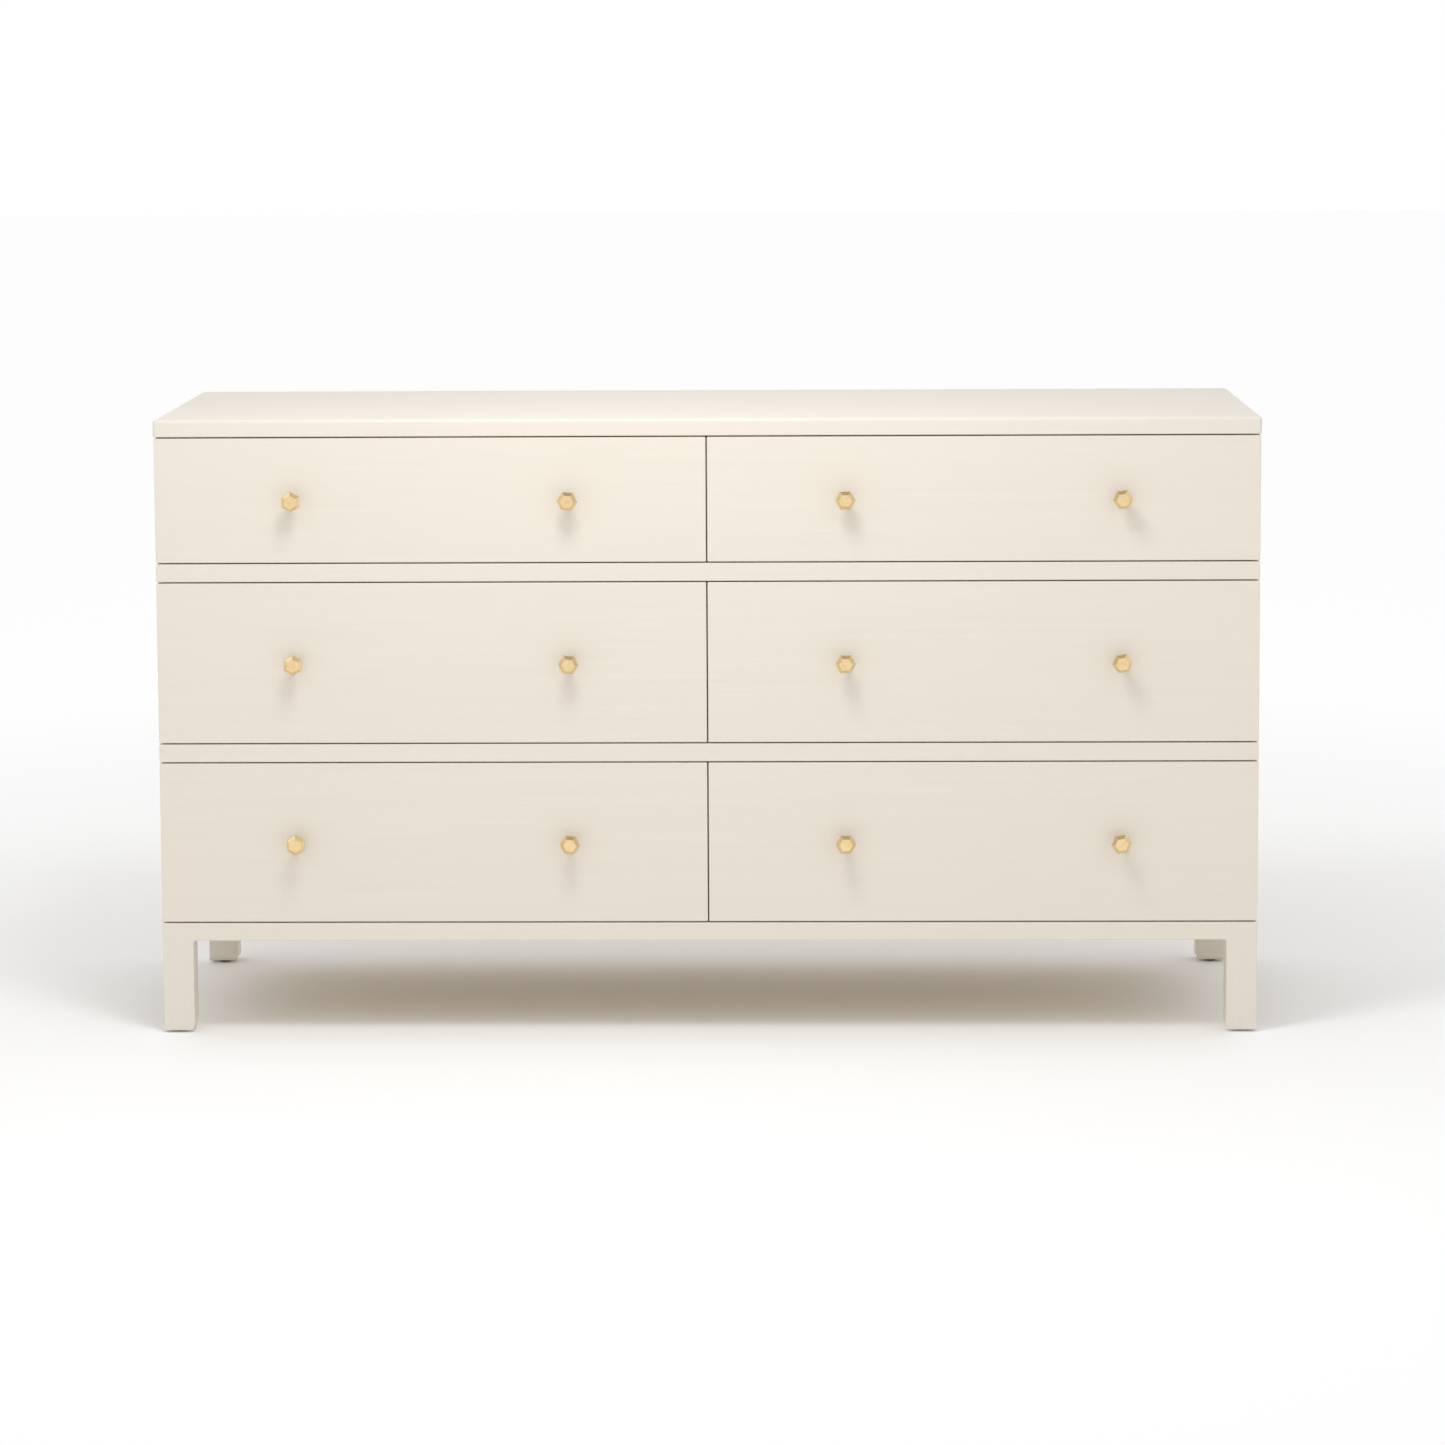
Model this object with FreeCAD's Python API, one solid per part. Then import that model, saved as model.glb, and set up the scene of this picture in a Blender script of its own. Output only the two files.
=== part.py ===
import FreeCAD, Part
import os

# A wide dresser with six drawers in three rows and two columns, on four square legs.
# Millimetres, +Z up, front towards -Y, +X to the right of a person who faces it.
# The origin is on the floor, under the centre of the whole bounding box, knobs included.

Vector = FreeCAD.Vector
RIGHT = Vector(1, 0, 0)
BACK = Vector(0, 1, 0)
UP = Vector(0, 0, 1)

# Top and body
top_width = 1524.0
top_depth = 508.0
top_thickness = 23.5
top_overhang = 1.2          # how far the top stands proud of the sides and the fronts
top_arris_radius = 4.5      # rounding of the upper edge all round
top_corner_radius = 5.0
panel_thickness = 22.0      # the two sides and the centre divider
back_thickness = 6.0
back_rebate = 10.0          # how far the back laps over each side
bottom_thickness = 18.0

# Base frame
rail_underside = 130.1      # floor to the underside of the base rails
rail_height = 25.0          # the base rails and the two rails between the rows
leg_size = 42.5
leg_arm = 12.0              # short stub of rail on each leg, where a base rail is glued
leg_crook_radius = 5.0      # hollow curve between a leg and the underside of its rail
leg_heel_radius = 9.0       # rounding of the foot towards the inside
edge_radius = 1.5
glide_radius = 9.0
glide_height = 3.0
glide_rounding = 0.8
glide_pin_radius = 1.3
glide_pin_length = 15.0

# Drawer fronts and the open line around them
front_thickness = 20.0
front_gap = 1.7
bumper_gap = 1.0            # between a closed front and the case behind it
deep_front = 223.1
shallow_front = 172.7

# Rails and stretchers behind the fronts
rail_tongue = 70.0          # how far a front rail reaches in between the panels
stretcher_thickness = 18.0
top_stretcher_width = 80.0
rear_stretcher_height = 60.0

# Drawer boxes
box_length = 450.0
box_lift = 12.0             # from the lower edge of a front up to its box
deep_box = 180.0
shallow_box = 130.0
board = 12.0
floor_thickness = 6.0
floor_lift = 10.0           # from the lower edge of a box up to its floor
groove_depth = 6.0

# Telescopic slides: a fixed channel, a middle channel and a channel on the drawer
slide_width = 12.7
slide_length = 400.0
slide_setback = 5.0
slide_steel = 1.2
case_channel_height = 45.0
case_channel_depth = 10.8
middle_channel_height = 35.4
middle_channel_offset = 2.2
middle_channel_depth = 9.0
middle_slide_length = 370.0
drawer_channel_height = 25.8
drawer_channel_depth = 8.3

# Knobs: a faceted six-sided head on a round neck
knob_projection = 27.0
knob_corner_radius = 14.2
knob_face_radius = 9.2      # corner radius of the flat face
knob_chamfer = 4.5
knob_side = 5.0             # length of the straight sides of the head
knob_taper = 3.0
knob_root_radius = 6.5      # corner radius where the head meets the neck
knob_neck_radius = 4.8
knob_foot_radius = 8.0
knob_foot_height = 2.0
knob_turns = {("left", 0): 30.0, ("left", 1): 5.0, ("right", 0): 0.0, ("right", 1): -9.0}

# Screws
screw_radius = 2.0
screw_head_radius = 4.0
screw_head_height = 2.4
screw_clearance = 0.25
knob_screw_grip = 12.0      # length of the knob screw inside the knob
top_screw_bite = 16.0       # length of a top screw inside the top

# Derived planes, from the floor up
rail_top = rail_underside + rail_height
row_heights = {"bottom": deep_front, "middle": deep_front, "top": shallow_front}
box_heights = {"bottom": deep_box, "middle": deep_box, "top": shallow_box}
front_low = {}
level = rail_top + front_gap
for row, height in row_heights.items():
    front_low[row] = level
    level += height + 2 * front_gap + rail_height
top_underside = level - rail_height - front_gap
top_surface = top_underside + top_thickness

# Derived planes, from the front to the back
whole_depth = top_depth + knob_projection - top_overhang
front_y = knob_projection - whole_depth / 2      # plane of the drawer fronts and the rails
top_front_y = front_y - top_overhang
back_y = whole_depth / 2
case_y = front_y + front_thickness + bumper_gap  # front edges of the sides and the divider
box_y = front_y + front_thickness
box_end_y = box_y + box_length
slide_y = case_y + slide_setback

# Derived planes across the width
half_body = top_width / 2 - top_overhang
half_divider = panel_thickness / 2
bay_width = half_body - panel_thickness - half_divider
bay_centre = half_divider + bay_width / 2
front_width = half_body - front_gap / 2
sides = {"left": -1, "right": 1}


def block(x, y, z):
    return Part.makeBox(x[1] - x[0], y[1] - y[0], z[1] - z[0], Vector(x[0], y[0], z[0]))


def edge_is_on(edge, axis, value):
    return all(abs(getattr(vertex.Point, axis) - value) < 0.001 for vertex in edge.Vertexes)


def edges_on(shape, axis, value):
    return [edge for edge in shape.Edges if edge_is_on(edge, axis, value)]


def rounded(shape, radius, axis, value):
    return shape.makeFillet(radius, edges_on(shape, axis, value))


def bay_span(side):
    # Inner width of one bay, as a low and a high x
    middle = sides[side] * bay_centre
    return (middle - bay_width / 2, middle + bay_width / 2)


# Top, sides and back

def top_panel():
    slab = block((-top_width / 2, top_width / 2), (top_front_y, back_y), (top_underside, top_surface))
    uprights = [edge for edge in slab.Edges if abs(edge.Length - top_thickness) < 0.001]
    slab = slab.makeFillet(top_corner_radius, uprights)
    slab = rounded(slab, top_arris_radius, "z", top_surface)
    slab = rounded(slab, edge_radius, "z", top_underside)
    return slab.cut(top_screws())


def side_panel(sign):
    outer = sign * half_body
    inner = sign * (half_body - panel_thickness)
    ledge = sign * (half_body - panel_thickness + back_rebate)
    height = (rail_top, top_underside)
    panel = block(sorted((inner, outer)), (case_y, back_y), height)
    rebate = block(sorted((inner, ledge)), (back_y - back_thickness, back_y), height)
    return panel.cut(rebate)


def centre_divider():
    return block((-half_divider, half_divider), (case_y, back_y - back_thickness), (rail_top, top_underside))


def back_panel():
    half = half_body - panel_thickness + back_rebate
    return block((-half, half), (back_y - back_thickness, back_y), (rail_top, top_underside))


# Rails, stretchers and the screws that hold the top

def front_rail(low):
    # The face strip runs the whole width, and a tongue behind it fits each bay
    z = (low, low + rail_height)
    strip = block((-half_body, half_body), (front_y, case_y), z)
    strip = rounded(strip, edge_radius, "y", front_y)
    tongues = [block(bay_span(side), (case_y, case_y + rail_tongue), z) for side in sides]
    return strip.fuse(tongues).removeSplitter()


def top_stretcher_spans():
    front = (case_y, case_y + top_stretcher_width)
    rear_end = back_y - back_thickness
    rear = (rear_end - top_stretcher_width, rear_end)
    return [(side, y) for side in sides for y in (front, rear)]


def top_screws():
    screws = []
    underside = top_underside - stretcher_thickness
    length = stretcher_thickness + top_screw_bite
    for side, y in top_stretcher_spans():
        for quarter in (-bay_width / 4, bay_width / 4):
            foot = Vector(sides[side] * bay_centre + quarter, sum(y) / 2, underside)
            shank = Part.makeCylinder(screw_radius, length, foot, UP)
            head = Part.makeCylinder(screw_head_radius, screw_head_height, foot, -UP)
            screws.append(shank.fuse(head).removeSplitter())
    return Part.makeCompound(screws)


def top_stretchers():
    z = (top_underside - stretcher_thickness, top_underside)
    boards = [block(bay_span(side), y, z) for side, y in top_stretcher_spans()]
    screws = top_screws()
    return Part.makeCompound([plank.cut(screws) for plank in boards])


def rear_stretchers():
    # Upright boards inside the back, level with the two front rails
    y = (back_y - back_thickness - stretcher_thickness, back_y - back_thickness)
    boards = []
    for row in ("middle", "top"):
        middle = front_low[row] - front_gap - rail_height / 2
        z = (middle - rear_stretcher_height / 2, middle + rear_stretcher_height / 2)
        boards += [block(bay_span(side), y, z) for side in sides]
    return Part.makeCompound(boards)


# Base frame, legs and glides

def post_profile(lines, radii):
    # Square post with the edges that run along one axis rounded
    post = block((0, leg_size), (0, leg_size), (glide_height, rail_top))
    for (first, first_value, second, second_value), radius in zip(lines, radii):
        picked = edges_on(post, first, first_value)
        picked = [edge for edge in picked if edge_is_on(edge, second, second_value)]
        post = post.makeFillet(radius, picked)
    return post


def rounded_post():
    # The outer corner is at x = y = 0, and the heel of the foot is rounded towards the inside
    foot = ("z", glide_height)
    across = post_profile([("x", 0) + foot, ("x", leg_size) + foot], [edge_radius, leg_heel_radius])
    along = post_profile([("y", 0) + foot, ("y", leg_size) + foot], [edge_radius, leg_heel_radius])
    upright = post_profile([("x", 0, "y", 0)], [edge_radius])
    return across.common(along).common(upright)


def leg_arms():
    # Stub of the rail along +X with its hollow curve, and the same along +Y
    low = rail_underside - leg_crook_radius
    stub = block((leg_size, leg_size + leg_arm), (0, leg_size), (rail_underside, rail_top))
    crook = block((leg_size, leg_size + leg_crook_radius), (0, leg_size), (low, rail_underside))
    centre = Vector(leg_size + leg_crook_radius, 0, low)
    crook = crook.cut(Part.makeCylinder(leg_crook_radius, leg_size, centre, BACK))
    along_x = stub.fuse(crook)
    along_y = along_x.mirror(Vector(0, 0, 0), Vector(1, -1, 0))
    return [along_x, along_y]


def leg(side, end):
    shape = rounded_post().fuse(leg_arms()).removeSplitter()
    shape.translate(Vector(-half_body, front_y, 0))
    if side == "right":
        shape = shape.mirror(Vector(0, 0, 0), RIGHT)
    if end == "rear":
        shape = shape.mirror(Vector(0, (front_y + back_y) / 2, 0), BACK)
    return shape.cut(glide(side, end))


def glide(side, end):
    inset = leg_size / 2
    y = {"front": front_y + inset, "rear": back_y - inset}[end]
    centre = Vector(sides[side] * (half_body - inset), y, 0)
    disc = Part.makeCylinder(glide_radius, glide_height, centre, UP)
    disc = rounded(disc, glide_rounding, "z", 0)
    pin = Part.makeCylinder(glide_pin_radius, glide_height + glide_pin_length, centre, UP)
    return disc.fuse(pin).removeSplitter()


def base_rail_across(y):
    half = half_body - leg_size - leg_arm
    return block((-half, half), y, (rail_underside, rail_top))


def base_rails_side():
    y = (front_y + leg_size + leg_arm, back_y - leg_size - leg_arm)
    rails = []
    for sign in sides.values():
        x = sorted((sign * half_body, sign * (half_body - leg_size)))
        rails.append(block(x, y, (rail_underside, rail_top)))
    return Part.makeCompound(rails)


def bottom_panel():
    half = half_body - leg_size
    y = (front_y + leg_size, back_y - leg_size)
    return block((-half, half), y, (rail_top - bottom_thickness, rail_top))


# Telescopic slides

def channel(height, depth, length):
    # Channel with its web at x = 0 and its lips towards +X, centred on z = 0
    outside = block((0, depth), (0, length), (-height / 2, height / 2))
    inside = height / 2 - slide_steel
    return outside.cut(block((slide_steel, depth), (0, length), (-inside, inside)))


def slide_pair(row, side, kind):
    # The pair of one drawer: left of the box as drawn, right of it mirrored
    start = Vector(-bay_width / 2, slide_y, 0)
    if kind == "case":
        shape = channel(case_channel_height, case_channel_depth, slide_length)
    elif kind == "middle":
        shape = channel(middle_channel_height, middle_channel_depth, middle_slide_length)
        start.x += middle_channel_offset
    else:
        shape = channel(drawer_channel_height, drawer_channel_depth, slide_length)
        shape = shape.mirror(Vector(0, 0, 0), RIGHT)
        start.x += slide_width
    start.z = front_low[row] + box_lift + box_heights[row] / 2
    shape.translate(start)
    pair = [shape, shape.mirror(Vector(0, 0, 0), RIGHT)]
    for member in pair:
        member.translate(Vector(sides[side] * bay_centre, 0, 0))
    return pair


def case_slides():
    members = []
    for row in front_low:
        for side in sides:
            members += slide_pair(row, side, "case")
    return Part.makeCompound(members)


# Drawers

def knob_places(row, side):
    # The knobs stand a quarter and three quarters of the way across their front
    outer_edge = sides[side] * half_body
    inner_edge = sides[side] * front_gap / 2
    low_x = min(outer_edge, inner_edge)
    z = front_low[row] + row_heights[row] / 2
    return [Vector(low_x + front_width * share, front_y, z) for share in (0.25, 0.75)]


def knob_screw(place):
    tip = place - BACK * knob_screw_grip
    length = knob_screw_grip + front_thickness + board
    shank = Part.makeCylinder(screw_radius, length, tip, BACK)
    head_start = tip + BACK * length
    head = Part.makeCylinder(screw_head_radius, screw_head_height, head_start, BACK)
    return shank.fuse(head).removeSplitter()


def screw_bore(place):
    start = place - BACK * (knob_screw_grip + screw_clearance)
    length = knob_screw_grip + screw_clearance + front_thickness + board
    return Part.makeCylinder(screw_radius + screw_clearance, length, start, BACK)


def hexagon(distance, corner_radius):
    # Six-sided outline at a distance in front of the drawer front
    first = Vector(corner_radius, -distance, 0)
    spin = [FreeCAD.Rotation(BACK, 60 * step) for step in range(7)]
    return Part.makePolygon([turn.multVec(first) for turn in spin])


def knob(place, turn):
    face = knob_projection
    chamfer_start = face - knob_chamfer
    side_start = chamfer_start - knob_side
    root = side_start - knob_taper
    stations = ((root, knob_root_radius), (side_start, knob_corner_radius),
                (chamfer_start, knob_corner_radius), (face, knob_face_radius))
    head = Part.makeLoft([hexagon(*station) for station in stations], True, True)
    head.rotate(Vector(0, 0, 0), BACK, turn)
    neck = Part.makeCylinder(knob_neck_radius, root, Vector(0, 0, 0), -BACK)
    foot = Part.makeCylinder(knob_foot_radius, knob_foot_height, Vector(0, 0, 0), -BACK)
    shape = head.fuse([neck, foot]).removeSplitter()
    shape.translate(place)
    return shape.cut(screw_bore(place))


def knobs(row, side):
    pieces = []
    for column, place in enumerate(knob_places(row, side)):
        pieces.append(knob(place, knob_turns[side, column]))
        pieces.append(knob_screw(place))
    return Part.makeCompound(pieces)


def drawer_front(row, side):
    x = sorted((sides[side] * half_body, sides[side] * front_gap / 2))
    z = (front_low[row], front_low[row] + row_heights[row])
    slab = block(x, (front_y, front_y + front_thickness), z)
    slab = slab.makeFillet(edge_radius, slab.Edges)
    return slab.cut([screw_bore(place) for place in knob_places(row, side)])


def box_span(side):
    low, high = bay_span(side)
    return (low + slide_width, high - slide_width)


def drawer_floor(row, side):
    low, high = box_span(side)
    inset = board - groove_depth
    z = front_low[row] + box_lift + floor_lift
    return block((low + inset, high - inset), (box_y + inset, box_end_y), (z, z + floor_thickness))


def drawer_sides(row, side):
    low, high = box_span(side)
    z = front_low[row] + box_lift
    height = (z, z + box_heights[row])
    boards = [block(x, (box_y, box_end_y), height) for x in ((low, low + board), (high - board, high))]
    floor = drawer_floor(row, side)
    return Part.makeCompound([plank.cut(floor) for plank in boards])


def drawer_ends(row, side):
    # The inner front, which the knob screws pass through, and the back, which stands on the floor
    low, high = box_span(side)
    x = (low + board, high - board)
    z = front_low[row] + box_lift
    top = z + box_heights[row]
    inner_front = block(x, (box_y, box_y + board), (z, top))
    inner_front = inner_front.cut([drawer_floor(row, side)] + [screw_bore(p) for p in knob_places(row, side)])
    back = block(x, (box_end_y - board, box_end_y), (z + floor_lift + floor_thickness, top))
    return Part.makeCompound([inner_front, back])


def all_nodes():
    nodes = {
        "top_panel": top_panel(),
        "side_panel_left": side_panel(-1),
        "side_panel_right": side_panel(1),
        "centre_divider": centre_divider(),
        "back_panel": back_panel(),
        "bottom_panel": bottom_panel(),
        "front_rail_upper": front_rail(front_low["top"] - front_gap - rail_height),
        "front_rail_lower": front_rail(front_low["middle"] - front_gap - rail_height),
        "top_stretchers": top_stretchers(),
        "rear_stretchers": rear_stretchers(),
        "top_screws": top_screws(),
        "base_rail_front": base_rail_across((front_y, front_y + leg_size)),
        "base_rail_rear": base_rail_across((back_y - leg_size, back_y)),
        "base_rails_side": base_rails_side(),
        "legs_front": Part.makeCompound([leg(side, "front") for side in sides]),
        "legs_rear": Part.makeCompound([leg(side, "rear") for side in sides]),
        "leg_glides": Part.makeCompound([glide(side, end) for side in sides for end in ("front", "rear")]),
        "case_slides": case_slides(),
    }
    for row in front_low:
        for side in sides:
            place = row + "_" + side
            nodes["drawer_front_" + place] = drawer_front(row, side)
            nodes["drawer_sides_" + place] = drawer_sides(row, side)
            nodes["drawer_ends_" + place] = drawer_ends(row, side)
            nodes["drawer_floor_" + place] = drawer_floor(row, side)
            nodes["knobs_" + place] = knobs(row, side)
            nodes["drawer_slides_" + place] = Part.makeCompound(slide_pair(row, side, "drawer"))
            nodes["middle_slides_" + place] = Part.makeCompound(slide_pair(row, side, "middle"))
    return nodes


def export(nodes):
    os.makedirs("parts", exist_ok=True)
    for name, shape in nodes.items():
        shape.exportStep("parts/" + name + ".step")


export(all_nodes())
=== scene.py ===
import math
import bmesh
import bpy
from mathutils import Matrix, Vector


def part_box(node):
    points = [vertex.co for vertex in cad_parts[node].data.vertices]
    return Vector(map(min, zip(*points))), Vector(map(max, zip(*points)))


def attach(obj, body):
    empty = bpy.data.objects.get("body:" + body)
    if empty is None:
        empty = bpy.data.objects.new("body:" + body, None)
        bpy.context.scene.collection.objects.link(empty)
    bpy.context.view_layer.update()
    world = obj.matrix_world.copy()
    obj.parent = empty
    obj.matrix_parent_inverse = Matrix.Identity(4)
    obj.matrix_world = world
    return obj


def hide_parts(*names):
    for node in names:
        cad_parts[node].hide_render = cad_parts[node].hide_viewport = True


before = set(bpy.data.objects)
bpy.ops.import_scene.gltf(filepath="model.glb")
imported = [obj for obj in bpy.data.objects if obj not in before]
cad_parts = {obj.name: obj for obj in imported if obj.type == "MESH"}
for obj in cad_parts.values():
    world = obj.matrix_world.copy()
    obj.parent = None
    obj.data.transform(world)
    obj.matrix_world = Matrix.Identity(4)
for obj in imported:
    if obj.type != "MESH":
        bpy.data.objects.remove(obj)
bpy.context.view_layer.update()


def millimetres(value):
    return value / 1000


rows = ("top", "middle", "bottom")
columns = ("left", "right")
places = [(row, column) for row in rows for column in columns]


closeEnough = 0.00001   # metres: corners nearer than this lie on the same plane


def titled(row, column):
    return row.capitalize() + column.capitalize()


def joined(row, column):
    return row + "_" + column


class Wire:
    # one socket of a shader tree, so that maths on values reads as a plain expression

    def __init__(self, tree, socket=None):
        self.tree = tree
        self.socket = socket

    def make(self, kind, settings=None, inputs=None, output=0):
        node = self.tree.nodes.new(kind)
        for name, value in (settings or {}).items():
            if name == "stops":
                fillRamp(node.color_ramp, value)
            else:
                setattr(node, name, value)
        for name, value in (inputs or {}).items():
            if isinstance(value, Wire):
                self.tree.links.new(value.socket, node.inputs[name])
            else:
                node.inputs[name].default_value = value
        return Wire(self.tree, node.outputs[output] if len(node.outputs) else None)

    def maths(self, operation, *values):
        return self.make("ShaderNodeMath", {"operation": operation}, dict(enumerate(values)))

    def __add__(self, other):
        return self.maths("ADD", self, other)

    def __radd__(self, other):
        return self.maths("ADD", other, self)

    def __sub__(self, other):
        return self.maths("SUBTRACT", self, other)

    def __rsub__(self, other):
        return self.maths("SUBTRACT", other, self)

    def __mul__(self, other):
        return self.maths("MULTIPLY", self, other)

    def __rmul__(self, other):
        return self.maths("MULTIPLY", other, self)

    def sine(self):
        return self.maths("SINE", self)

    def size(self):
        return self.maths("ABSOLUTE", self)

    def part(self, axis):
        return self.make("ShaderNodeSeparateXYZ", None, {0: self}, "XYZ".index(axis))

    def scaled(self, factors):
        return self.make("ShaderNodeVectorMath", {"operation": "MULTIPLY"}, {0: self, 1: factors})

    def noise(self, factors, detail=2.0, roughness=0.5, distortion=0.0):
        inputs = {"Vector": self.scaled(factors), "Scale": 1.0, "Detail": detail}
        inputs.update({"Roughness": roughness, "Distortion": distortion})
        return self.make("ShaderNodeTexNoise", None, inputs)


def fillRamp(ramp, stops):
    while len(ramp.elements) > 1:
        ramp.elements.remove(ramp.elements[-1])
    for index, (position, shade) in enumerate(stops):
        element = ramp.elements[0] if index == 0 else ramp.elements.new(position)
        element.position = position
        element.color = (shade, shade, shade, 1) if isinstance(shade, float) else (*shade, 1)


def blended(mask, first, second):
    # first where the mask is 0 and second where it is 1
    settings = {"data_type": "RGBA", "blend_type": "MIX", "clamp_factor": True}
    return mask.make("ShaderNodeMix", settings, {0: mask, 6: first, 7: second}, 2)


def ramped(value, stops):
    return value.make("ShaderNodeValToRGB", {"stops": stops}, {0: value})


def bumped(height, distance, strength=1.0, under=None):
    inputs = {"Height": height, "Distance": distance, "Strength": strength}
    if under is not None:
        inputs["Normal"] = under
    return height.make("ShaderNodeBump", None, inputs)


def colour(red, green, blue):
    # a colour given 0 to 255, as the linear values that a shader takes
    def linear(level):
        share = level / 255
        return share / 12.92 if share <= 0.04045 else ((share + 0.055) / 1.055) ** 2.4

    return (linear(red), linear(green), linear(blue), 1.0)


def newMaterial(name, fixed):
    # a material with its shader's constant sockets set, and its object coordinates
    material = bpy.data.materials.new(name)
    material.use_nodes = True
    tree = material.node_tree
    shader = tree.nodes["Principled BSDF"]
    for socket, value in fixed.items():
        shader.inputs[socket].default_value = value
    coordinates = Wire(tree).make("ShaderNodeTexCoord", None, None, 3)

    def feed(socket, wire):
        tree.links.new(wire.socket, shader.inputs[socket])

    return material, coordinates, feed


def stretched(run, along, across):
    # densities that draw a pattern out along one axis
    return [along if axis == run else across for axis in "XYZ"]


linen = {
    "ivory": colour(227, 219, 206),
    "pale": colour(230, 222, 209),
    "shade": colour(223, 215, 202),
    "slubLength": 0.11,       # metres, along the thread
    "slubWidth": 0.0021,
    "longSlub": 0.31,         # density, as a share of the short slubs'
    "cloudDensity": 2.6,      # per metre
    "threadPitch": 0.00105,
    "threadWander": 5.0,      # radians
    "threadHeight": 0.00003,
    "slubHeight": 0.00004,
    "roughness": 0.38,
    "roughnessSpread": 0.08,
    "lacquer": 0.15,
}


def linenLacquer(name, run):
    # fine cloth under satin lacquer, with its slubs along one axis
    fixed = {"Coat Weight": linen["lacquer"], "Coat Roughness": 0.22, "Specular IOR Level": 0.42}
    material, place, feed = newMaterial(name, fixed)
    along = 1 / linen["slubLength"]
    across = 1 / linen["slubWidth"]
    share = linen["longSlub"]
    slub = place.noise(stretched(run, along, across), 3.0, 0.62)
    longSlub = place.noise(stretched(run, along * share, across * share), 2.0, 0.5, 0.3)
    clouds = place.noise([linen["cloudDensity"]] * 3, 3.0, 0.55)
    turns = 2 * math.pi / linen["threadPitch"]
    wander = place.noise((90, 90, 90), 2.0, 0.5) * linen["threadWander"]
    threads = [((place.part(axis) * turns) + wander).sine().size() for axis in "XYZ"]
    weave = (threads[0] + threads[1] + threads[2]) * 0.33
    streak = ramped(slub * 0.6 + longSlub * 0.4, [(0.34, 0.0), (0.5, 0.45), (0.68, 1.0)])
    body = blended(streak, linen["shade"], linen["pale"])
    body = blended(ramped(clouds, [(0.3, 0.0), (0.75, 1.0)]) * 0.5 + 0.35, body, linen["ivory"])
    body = blended((1 - weave) * 0.10, body, linen["shade"])
    feed("Base Color", body)
    feed("Roughness", (1 - streak) * linen["roughnessSpread"] + linen["roughness"])
    soft = bumped(longSlub * 0.5 + slub * 0.5, linen["slubHeight"], 0.55)
    feed("Normal", bumped(weave, linen["threadHeight"], 0.5, soft))
    return material


brass = {
    "metal": colour(242, 216, 166),
    "tarnish": colour(221, 187, 128),
    "roughness": 0.13,
    "smudge": 0.10,
    "scratchHeight": 0.000012,
}
rimBrass = dict(brass)
rimBrass.update({
    "metal": colour(238, 211, 160),
    "tarnish": colour(216, 183, 126),
    "roughness": 0.15,
})


def polishedBrass(name, look):
    # clear bright brass, with finger marks and fine scratches
    material, place, feed = newMaterial(name, {"Metallic": 1.0})
    smudges = place.noise((120, 120, 120), 4.0, 0.6)
    scratches = place.noise((3400, 260, 900), 2.0, 0.6, 0.4)
    patina = ramped(smudges, [(0.42, 0.0), (0.78, 1.0)])
    feed("Base Color", blended(patina * 0.55, look["metal"], look["tarnish"]))
    feed("Roughness", patina * look["smudge"] + scratches * 0.05 + look["roughness"] - 0.025)
    feed("Normal", bumped(scratches, look["scratchHeight"], 0.35))
    return material


maple = {
    "sap": colour(232, 213, 182),
    "heart": colour(223, 200, 166),
    "pore": colour(200, 168, 130),
    "ringWidth": 0.011,
    "boardLength": 0.42,
    "roughness": 0.46,
    "grainHeight": 0.00005,
}


def plainWood(name, run, look):
    # straight-grained board, its grain along one axis
    material, place, feed = newMaterial(name, {"Coat Weight": 0.08, "Coat Roughness": 0.35})
    along = 1 / look["boardLength"]
    across = 1 / look["ringWidth"]
    rings = place.noise(stretched(run, along, across), 3.0, 0.5, 1.2)
    fibres = place.noise(stretched(run, along * 2, across * 22), 3.0, 0.6)
    flecks = place.noise(stretched(run, along * 9, across * 60), 1.0, 0.5)
    grain = ramped(rings, [(0.35, 0.0), (0.52, 0.55), (0.66, 1.0)])
    body = blended(grain, look["sap"], look["heart"])
    body = blended(ramped(fibres, [(0.45, 0.0), (0.75, 1.0)]) * 0.35, body, look["heart"])
    body = blended(ramped(flecks, [(0.66, 0.0), (0.78, 1.0)]) * 0.5, body, look["pore"])
    feed("Base Color", body)
    feed("Roughness", fibres * 0.14 + look["roughness"] - 0.07)
    feed("Normal", bumped(fibres * 0.7 + rings * 0.3, look["grainHeight"], 0.6))
    return material


birchPly = dict(maple)
birchPly.update({
    "sap": colour(224, 202, 168),
    "heart": colour(209, 181, 142),
    "ringWidth": 0.03,
    "boardLength": 0.9,
})

caseBoard = {
    "chip": colour(212, 191, 156),
    "chipDark": colour(184, 158, 120),
    "chipLight": colour(227, 210, 178),
    "chipSize": 0.0032,
    "roughness": 0.62,
    "height": 0.00006,
}


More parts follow.
